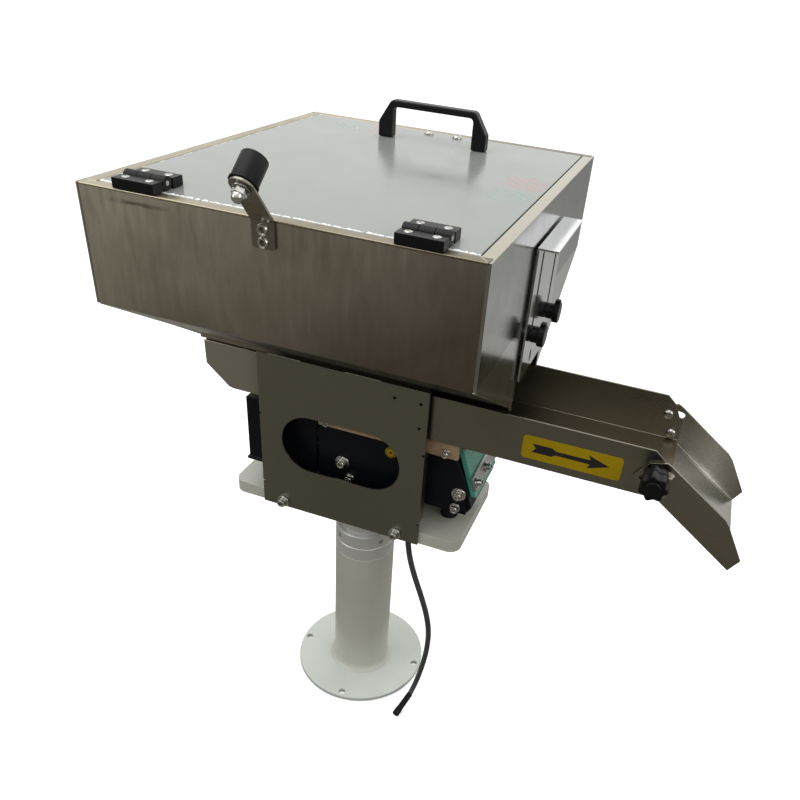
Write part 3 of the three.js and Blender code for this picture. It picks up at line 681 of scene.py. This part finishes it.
def rounded_outline(x, z, radius, steps=6):
    points = []
    for u, v, first in ((x[1], z[0], -90), (x[1], z[1], 0), (x[0], z[1], 90), (x[0], z[0], 180)):
        centre = (u - radius if u == x[1] else u + radius, v + radius if v == z[0] else v - radius)
        for i in range(steps + 1):
            a = math.radians(first + 90 * i / steps)
            points.append((centre[0] + radius * math.cos(a), centre[1] + radius * math.sin(a)))
    return points


# Two tabs stand up from each bracket into the hopper's rail. Thin bright zinc frames on them are
# painted highlights where their cut edges shine.
def bracket_tab_highlights():
    low, high, wall = 492.2, 495.3, 0.7
    parts = []
    for left, right in ((-88, -50), (1, 41)):
        outer = flat_shape(box_outline(left, right, low, high), -70.82, 0.2)
        inner = box_outline(left + wall, right - wall, low + wall, high - wall)
        parts.append(bored(outer, flat_shape(inner, -70.3, 1.5)))
    settle(joined(parts), "bracket_tab_highlights", bright_zinc, "head", "brushed_stainless")


bracket_tab_highlights()


def make_label():
    x, z, face = (193.6, 294.2), (441.5, 467.9), -TROUGH_SIDE * 1000 - 0.02
    plate = flat_shape(rounded_outline(x, z, 4), face, 0.25)
    settle(plate, "arrow_label", sticker_yellow, "trough", "black_plastic")
    middle = (z[0] + z[1]) / 2
    half = [(203.5, 4.9), (224, 4.9), (228, 2.3), (263, 2.5), (260.5, 7.6)]
    outline = [(207.8, middle)] + [(u, middle - v) for u, v in half] + [(282, middle)]
    outline += [(u, middle + v) for u, v in reversed(half)]
    arrow = flat_shape(outline, face, 0.35)
    settle(arrow, "arrow_mark", label_ink, "trough", "black_plastic")


make_label()


def pan_screw(at, axis, radius, height):
    dome = [(radius, 0), (radius, height * 0.3), (radius * 0.92, height * 0.6),
            (radius * 0.7, height * 0.87), (radius * 0.4, height)]
    recess = rod(radius * 0.30, (0, 0, height * 0.45), (0, 0, height * 1.5), 4)
    return aim(bored(turned(dome, 32), recess), at, axis)


def hex_nut(at, axis, across, height, bore):
    radius = across / 2 / math.cos(math.pi / 6)
    nut = turned([(radius * 0.93, 0), (radius, height * 0.12), (radius, height * 0.88),
                  (radius * 0.93, height)], 6)
    return aim(bored(nut, rod(bore, (0, 0, -0.001), (0, 0, height + 0.001), 24)), at, axis)


def spout_hardware():
    inside, outside = 0.0597, 0.0651
    rows = [("pivot_screw_front", PIVOT, -1, 0.0708), ("pivot_screw_back", PIVOT, 1, 0.0708),
            ("tilt_screw_back", STUD, 1, 0.0708), ("knob_stud", STUD, -1, 0.0908)]
    for name, (x, z), side, tip in rows:
        parts = [pan_screw((x, side * inside, z), (0, -side, 0), 0.0054, 0.003),
                 rod(0.003, (x, side * inside, z), (x, side * tip, z), 24)]
        if name != "knob_stud":
            washer = copied(washer_plate, 0.0058, (x, side * outside, z), (0, side, 0))
            nut = hex_nut((x, side * 0.0666, z), (0, side, 0), 0.0088, 0.0034, 0.0029)
            parts += [washer, nut]
        settle(joined(parts), name + "_shape", bright_zinc, "trough", "bright_screws", name)


spout_hardware()


# The star knob is moulded in black nylon round a threaded bush, and clamps the spout's front ear.
# It has two lobed rings on one hub.
def lobed(radius, depth, start, lobes, rise):
    bpy.ops.object.select_all(action="DESELECT")
    bpy.ops.mesh.primitive_cylinder_add(vertices=96, radius=radius, depth=depth)
    made = bpy.context.object
    for corner in made.data.vertices:
        a = math.atan2(corner.co.y, corner.co.x)
        swell = 1 + rise * math.cos(lobes * a)
        corner.co.x *= swell
        corner.co.y *= swell
    made.location.z = start + depth / 2
    only(made)
    bpy.ops.object.transform_apply(location=True)
    return rounded(made, 0.0012, 3, 50)


def make_star_knob():
    x, z = STUD
    hub = turned([(0.0078, 0), (0.0082, 0.0006), (0.0082, 0.006), (0.0072, 0.012), (0.0072, 0.020),
                  (0.0082, 0.025), (0.0080, 0.0302), (0.0074, 0.0308)], 48)
    inner = lobed(0.0118, 0.0085, 0.0055, 7, 0.09)
    outer = lobed(0.0128, 0.0125, 0.0165, 7, 0.1)
    knob = aim(joined([hub, inner, outer]), (x, -0.0656, z), (0, -1, 0))
    knob = bored(knob, rod(0.0034, (x, -0.060, z), (x, -0.0912, z), 24))
    settle(knob, "star_knob_shape", black_plastic, "star_knob", "black_plastic", "star_knob")
    smooth(knob)


make_star_knob()


# ---- hopper ----
# The hopper is four welded plates of brushed stainless with a folded rim. The end walls are nearly
# mirror bright, and the front and back have a brown-grey polish that painted shade darkens.
KNEE_Z, RIM_Z = 0.579, 0.680


# Painted shade on the front and back: they darken to the right and downward, the sloping undersides
# stay dark, the rim is darker than the walls, and a broken dark line runs under it by the left
# hinge.
def painted_wall_shade(tree, xyz, tone):
    # painted shade, deepening to the right and downward
    side = math_node(tree, "MULTIPLY_ADD", xyz[0], 2.143, 2.693)
    drop = spread(tree, math_node(tree, "MULTIPLY_ADD", xyz[2], -3.398, side), 0, 1, 0.15, 0.92)
    tone = darkened(tree, drop, tone, (0.25, 0.225, 0.21))
    # how far a place stands out of the slope's plane
    level = math_node(tree, "MULTIPLY_ADD", math_node(tree, "ABSOLUTE", xyz[1]), 0.517, 0.3891)
    depth = math_node(tree, "MULTIPLY_ADD", xyz[2], -0.856, level)
    # painted shade on the sloping undersides
    under = math_node(tree, "MULTIPLY", math_node(tree, "LESS_THAN", xyz[2], KNEE_Z - 0.001),
                      math_node(tree, "GREATER_THAN", depth, -0.0006))
    under = math_node(tree, "MULTIPLY", under, spread(tree, xyz[0], 0, 1, -0.09, -0.06))
    tone = darkened(tree, under, tone, (0.12, 0.12, 0.12))
    # painted shade on the rim
    rim = math_node(tree, "GREATER_THAN", xyz[2], RIM_Z)
    tone = darkened(tree, rim, tone, (0.62, 0.59, 0.52))
    # a broken dark line under the rim by the left hinge
    height = math_node(tree, "ABSOLUTE", math_node(tree, "SUBTRACT", xyz[2], 0.6730))
    length = math_node(tree, "ABSOLUTE", math_node(tree, "ADD", xyz[0], 0.118))
    line = math_node(tree, "MULTIPLY", spread(tree, height, 1, 0, 0.0006, 0.0026),
                     spread(tree, length, 1, 0, 0.012, 0.034))
    place = node(tree, "CombineXYZ", X=xyz[0], Z=xyz[2]).outputs[0]
    patchiness = spread(tree, noise(tree, place, 60, (0.7, 1, 3)), 0.1, 1, 0.38, 0.6)
    return darkened(tree, math_node(tree, "MULTIPLY", patchiness, line), tone, (0.35, 0.34, 0.33))


# Painted light and shade on the right wall: it darkens to the back, is brighter below its knee
# with a painted highlight along the seam there, and has a painted beige reflection on its rim.
def painted_end_wall_light(tree, xyz, tone):
    # painted shade, darker to the back
    tone = darkened(tree, spread(tree, xyz[1], 0, 1, -0.21, 0.16), tone, (0.34, 0.37, 0.36))
    # painted light below the knee
    slope = math_node(tree, "LESS_THAN", xyz[2], KNEE_Z)
    tone = mix(tree, math_node(tree, "MULTIPLY", slope, 0.5), tone, (0.72, 0.72, 0.69))
    # a painted highlight along the knee seam
    seam = math_node(tree, "COMPARE", xyz[2], KNEE_Z, 0.0006)
    tone = mix(tree, math_node(tree, "MULTIPLY", seam, 0.7), tone, (0.85, 0.85, 0.83))
    # a painted beige reflection on the rim
    rim = math_node(tree, "GREATER_THAN", xyz[2], RIM_Z + 0.0012)
    return mix(tree, rim, tone, (0.50, 0.465, 0.375))


wall_steel = brushed(
    "wall_steel", (0.58, 0.545, 0.43), (0.88, 0.82, 0.69), (0.26, 0.38), (4, 4, 0.7),
    blotch=8, scuff=0.6, relief=0.006, streaks=0.18, shade=painted_wall_shade)
end_wall_steel = brushed(
    "end_wall_steel", (0.28, 0.28, 0.265), (0.49, 0.49, 0.47), (0.12, 0.22), (5, 5, 0.4),
    blotch=14, scuff=0.5, relief=0.008, streaks=0.6, shade=painted_end_wall_light)
softened("hopper_front_plate", 0.0011, wall_steel, 3)
softened("hopper_back_plate", 0.0011, wall_steel, 3)
softened("hopper_left_wall", 0.0006, wall_steel)
softened("hopper_right_wall", 0.0005, end_wall_steel)


def weld_beads():
    bead = 0.0012
    beads = []
    for x in (-173.0, 173.0):
        inward = -math.copysign(1, x)
        for side in (-1, 1):
            corners = [(x, side * 205.0, 680.4), (x, side * 205.0, 579.3), (x, side * 56.6, 489.7)]
            for start, end in zip(corners, corners[1:]):
                beads.append(rod(bead, mm(*start), mm(*end), 12))
            beads.append(rod(bead, mm(x + inward * 1.2, side * 205.4, 680.9),
                             mm(x + inward * 9.5, side * 195.4, 681.1), 12))
    seam = joined(beads)
    smooth(seam)
    settle(seam, "hopper_welds", end_wall_steel, "head", "brushed_stainless")


weld_beads()


# ---- outlet gate ----
# A bright stainless plate slides on two studs behind black wing knobs. Its folded top is the grip
# and carries a painted highlight that makes it the brightest part.
STUD_Z = 0.5615
GRIP_Z = 0.6490


def painted_grip_highlight(tree, xyz, tone):
    # a painted highlight: the grip's top is mixed to near white
    return mix(tree, math_node(tree, "GREATER_THAN", xyz[2], GRIP_Z), tone, (0.97, 0.97, 1.0))


gate_steel = brushed(
    "gate_steel", (0.48, 0.48, 0.475), (0.66, 0.66, 0.66), (0.08, 0.16), (10, 14, 0.5),
    scuff=0.15, relief=0.006, streaks=0.5, shade=painted_grip_highlight)
softened("gate_plate", 0.0004, gate_steel)


def make_gate_knobs():
    profile = [(0.0076, 0), (0.0080, 0.0005), (0.0080, 0.0066), (0.0100, 0.0072),
               (0.0108, 0.0080), (0.0108, 0.0130), (0.0100, 0.0137)]
    for name, y in (("front", -0.033), ("back", 0.033)):
        knob = turned(profile, 48)
        bpy.ops.object.select_all(action="DESELECT")
        bpy.ops.mesh.primitive_cube_add(size=1, location=(0.0096, 0, 0.0105))
        wing = bpy.context.object
        wing.scale = (0.0076, 0.0068, 0.0056)
        only(wing)
        bpy.ops.object.transform_apply(location=True, rotation=True, scale=True)
        rounded(wing, 0.0012, 3)
        knob = joined([knob, wing])
        knob.matrix_world = Matrix.Rotation(math.pi, 4, "Z") @ knob.matrix_world
        aim(knob, (0.1793, y, STUD_Z), (1, 0, 0))
        settle(knob, "gate_wing_" + name, black_plastic, "gate_knob_" + name, "black_plastic",
               "gate_knob_" + name)


make_gate_knobs()


# ---- lid ----
# The lid is a clear acrylic panel that still has its grey-green film, torn along the front and left
# edges, with faint printed hatching near two corners.
# 1 inside a box in X and Y, in metres, and 0 outside.
def window(tree, xyz, low, high):
    total = 1.0
    for axis in (0, 1):
        above = math_node(tree, "GREATER_THAN", xyz[axis], low[axis])
        below = math_node(tree, "LESS_THAN", xyz[axis], high[axis])
        total = math_node(tree, "MULTIPLY", total, math_node(tree, "MULTIPLY", above, below))
    return total


def make_film():
    material, tree, place, shader = start_material("lid_film")
    drift = spread(tree, noise(tree, place, 5), 0, 1)
    tone = mix(tree, drift, (0.235, 0.250, 0.230), (0.272, 0.287, 0.265))
    xyz = node(tree, "SeparateXYZ", Vector=place).outputs
    ragged = noise(tree, place, 420, (1, 0.3, 1), 3.0)
    front = math_node(tree, "LESS_THAN", xyz[1],
                      spread(tree, ragged, -0.1936, -0.1896, 0.35, 0.7))
    left = math_node(tree, "LESS_THAN", xyz[0],
                     spread(tree, ragged, -0.1628, -0.1612, 0.35, 0.65))
    edge = math_node(tree, "MAXIMUM", front, left)
    hatch = node(tree, "TexWave", {"bands_direction": "DIAGONAL"}, Vector=place, Scale=52.0,
                 Distortion=1.5, Detail=1.0)
    bars = math_node(tree, "GREATER_THAN", hatch.outputs[1], 0.62)
    broken = math_node(tree, "GREATER_THAN", noise(tree, place, 120), 0.47)
    bars = math_node(tree, "MULTIPLY", bars, broken)
    green_back = ((-0.125, 0.135), (-0.085, 0.185))
    green_right = ((0.118, -0.045), (0.160, -0.005))
    red_back = ((-0.080, 0.140), (-0.045, 0.188))
    red_right = ((0.118, 0.005), (0.160, 0.055))
    prints = [((0.10, 0.30, 0.18), green_back, green_right),
              ((0.50, 0.12, 0.10), red_back, red_right)]
    for colour, back, right in prints:
        patch = math_node(tree, "MAXIMUM", window(tree, xyz, *back), window(tree, xyz, *right))
        patch = math_node(tree, "MULTIPLY", patch, bars)
        tone = mix(tree, math_node(tree, "MULTIPLY", patch, 0.55), tone, colour)
    specks = math_node(tree, "GREATER_THAN", noise(tree, place, 95, detail=1.0), 0.79)
    tone = mix(tree, specks, tone, (0.62, 0.64, 0.62))
    tone = mix(tree, edge, tone, (0.90, 0.92, 0.90))
    tree.links.new(tone, shader.inputs["Base Color"])
    tree.links.new(spread(tree, noise(tree, place, 30), 0.14, 0.24), shader.inputs["Roughness"])
    bump = node(tree, "Bump", Strength=0.08, Distance=0.0006, Height=noise(tree, place, 45))
    tree.links.new(bump.outputs[0], shader.inputs["Normal"])
    return material


softened("lid_panel", 0.0004, make_film())
softened("lid_handle", 0.0016, black_plastic, 3)
softened("magnet_catch", 0.0006, black_plastic)


def lid_screws():
    domes = [pan_screw((x, 0.180, 0.68202), (0, 0, 1), 0.0056, 0.0036) for x in (-0.014, 0.020)]
    settle(joined(domes), "catch_screws", bright_zinc, "lid", "bright_screws")


lid_screws()


# ---- hinges ----
# Two black moulded hinges join the lid to the front of the rim. Each has a steel pin with flat ends
# and four screws.
HINGE_Y, HINGE_Z = -0.187, 0.688
HINGE_TOP = 0.6905


def make_hinges():
    rim_screws, lid_screw_heads = [], []
    for side, middle in (("left", -0.120), ("right", 0.120)):
        softened("hinge_rim_leaf_" + side, 0.0009, black_plastic, 2)
        softened("hinge_lid_leaf_" + side, 0.0009, black_plastic, 2)
        ends = [middle - 0.0186, middle + 0.0186]
        parts = [rod(0.0016, (ends[0], HINGE_Y, HINGE_Z), (ends[1], HINGE_Y, HINGE_Z), 24)]
        for x in ends:
            near, far = (x - 0.0004, HINGE_Y, HINGE_Z), (x + 0.0004, HINGE_Y, HINGE_Z)
            parts.append(rod(0.0026, near, far, 24))
        settle(joined(parts), "hinge_pin_shape_" + side, bright_zinc, "head", "bright_screws",
               "hinge_pin_" + side)
        for x in (middle - 0.011, middle + 0.011):
            rim_screws.append(pan_screw((x, -0.1985, HINGE_TOP), (0, 0, 1), 0.0034, 0.0009))
            lid_screw_heads.append(pan_screw((x, -0.1740, HINGE_TOP), (0, 0, 1), 0.0034, 0.0009))
    settle(joined(rim_screws), "hinge_rim_screws", bright_zinc, "head", "bright_screws")
    settle(joined(lid_screw_heads), "hinge_lid_screws", bright_zinc, "lid", "bright_screws")


make_hinges()


# ---- lid stop ----
# A bent stainless strip is screwed to the front plate and holds a rubber bumper that the open lid
# leans on. An acorn nut fastens the bumper from below.
STOP_BEND = Vector((-0.004, -0.2063, 0.681))
STOP_TILT = math.radians(50)
STOP_REACH = 0.039


def make_stop():
    # The strip lies wholly on the spout steel's near side, so that steel's painted shade darkens
    # all of it.
    softened("stop_bracket", 0.0004, spout_steel)
    button = [(0.0024, 0.0006), (0.0024, 0.0015), (0.0040, 0.0019), (0.0047, 0.0010), (0.0048, 0),
              (0.0024, 0.0006)]
    screws = [aim(turned(button, 32, hollow=True), (STOP_BEND.x, -0.2083, z), (0, -1, 0))
              for z in (0.674, 0.664)]
    settle(joined(screws), "stop_screws", bright_zinc, "head", "bright_screws")
    out = Vector((0, -math.cos(STOP_TILT), math.sin(STOP_TILT)))
    up = Vector((0, math.sin(STOP_TILT), math.cos(STOP_TILT)))
    seat = STOP_BEND + out * STOP_REACH
    bumper = turned([(0.0108, 0.0003), (0.0112, 0.0007), (0.0112, 0.0022), (0.0105, 0.0027),
                     (0.0105, 0.0226), (0.0102, 0.0233), (0.0094, 0.0238)], 64)
    settle(aim(bumper, seat, up), "bumper", rubber, "head", "black_rubber", "stop_bumper")
    nut = turned([(0.0052, 0), (0.0058, 0.0006), (0.0058, 0.0044), (0.0052, 0.005)], 6)
    dome = turned([(0.0047, 0.0046), (0.0047, 0.0062), (0.0042, 0.0080), (0.0032, 0.0094),
                   (0.0018, 0.0102)], 32)
    washer = copied(washer_plate, 0.0066, (0, 0, 0), (0, 0, 1))
    nut.location.z = dome.location.z = 0.0017
    acorn = joined([washer, nut, dome])
    settle(aim(acorn, seat - up * 0.0021, -up), "acorn_nut", bright_zinc, "head", "bright_screws")


make_stop()
for master in (screw_master, washer_plate):
    bpy.data.objects.remove(master)


# ---- floor and light ----
# A pale floor and soft lights from above and both sides. Everything but the view itself meets a
# darker workshop, so that the steel has something to mirror.
def make_floor():
    bpy.ops.object.select_all(action="DESELECT")
    bpy.ops.mesh.primitive_plane_add(size=120, location=(0, 0, -0.0005))
    floor = bpy.context.object
    floor.name = "floor"
    material, tree, place, shader = start_material("floor_paint")
    seen = node(tree, "LightPath").outputs["Is Camera Ray"]
    behind = spread(tree, node(tree, "SeparateXYZ", Vector=place).outputs[1], 0, 1, -0.2, 1.2)
    mirrored = mix(tree, behind, (0.150, 0.142, 0.125), (0.40, 0.40, 0.39))
    tone = mix(tree, seen, mirrored, (0.97, 0.97, 0.97))
    tree.links.new(tone, shader.inputs["Base Color"])
    shader.inputs["Roughness"].default_value = 0.9
    shader.inputs["Specular IOR Level"].default_value = 0.1
    shader.inputs["Emission Color"].default_value = (1, 1, 1, 1)
    tree.links.new(math_node(tree, "MULTIPLY", seen, 0.4), shader.inputs["Emission Strength"])
    floor.data.materials.append(material)


def make_world():
    world = bpy.data.worlds.new("studio")
    bpy.context.scene.world = world
    world.use_nodes = True
    tree = world.node_tree
    tree.nodes.clear()
    way = node(tree, "TexCoord").outputs["Generated"]
    sky = node(tree, "SeparateXYZ", Vector=way).outputs
    ramp = node(tree, "ValToRGB", Fac=spread(tree, sky[2], 0, 1, -0.2, 1.0))
    ramp.color_ramp.elements[0].color = (0.14, 0.134, 0.12, 1)
    ramp.color_ramp.elements[1].color = (1.0, 1.0, 1.0, 1)
    middle = ramp.color_ramp.elements.new(0.45)
    middle.color = (0.5, 0.495, 0.47, 1)
    backdrop = math_node(tree, "MULTIPLY", spread(tree, sky[1], 0, 1, 0.3, 0.7),
                         spread(tree, sky[2], 0, 1, 0.0, 0.1))
    room = mix(tree, backdrop, ramp.outputs[0], (1.05, 1.05, 1.04))
    seen = node(tree, "LightPath").outputs["Is Camera Ray"]
    tone = mix(tree, seen, room, (1.0, 1.0, 1.0))
    background = node(tree, "Background", Color=tone, Strength=1.0)
    output = node(tree, "OutputWorld")
    tree.links.new(background.outputs[0], output.inputs[0])


# Each row is a spot, the point it faces, the side of the square and the power. The last one, behind
# the machine, is left out of the reflections.
LAMPS = [((-0.6, -0.4, 2.3), (0, 0, 0.5), 1.8, 16), ((1.9, -0.7, 1.5), (0.1, 0, 0.5), 1.1, 9),
         ((-1.8, -1.5, 1.4), (0, 0, 0.5), 1.3, 9), ((0.6, 1.9, 1.7), (0, 0, 0.6), 1.2, 7)]


def make_lamps():
    for i, (spot, target, size, power) in enumerate(LAMPS):
        bpy.ops.object.light_add(type="AREA", location=spot)
        lamp = bpy.context.object
        lamp.name = f"softbox_{i + 1}"
        lamp.data.shape = "SQUARE"
        lamp.data.size = size
        lamp.data.energy = power
        lamp.rotation_euler = (Vector(spot) - Vector(target)).to_track_quat("Z", "Y").to_euler()
        lamp.visible_glossy = i != 3


make_floor()
make_world()
make_lamps()
bpy.context.scene.view_settings.view_transform = "Standard"
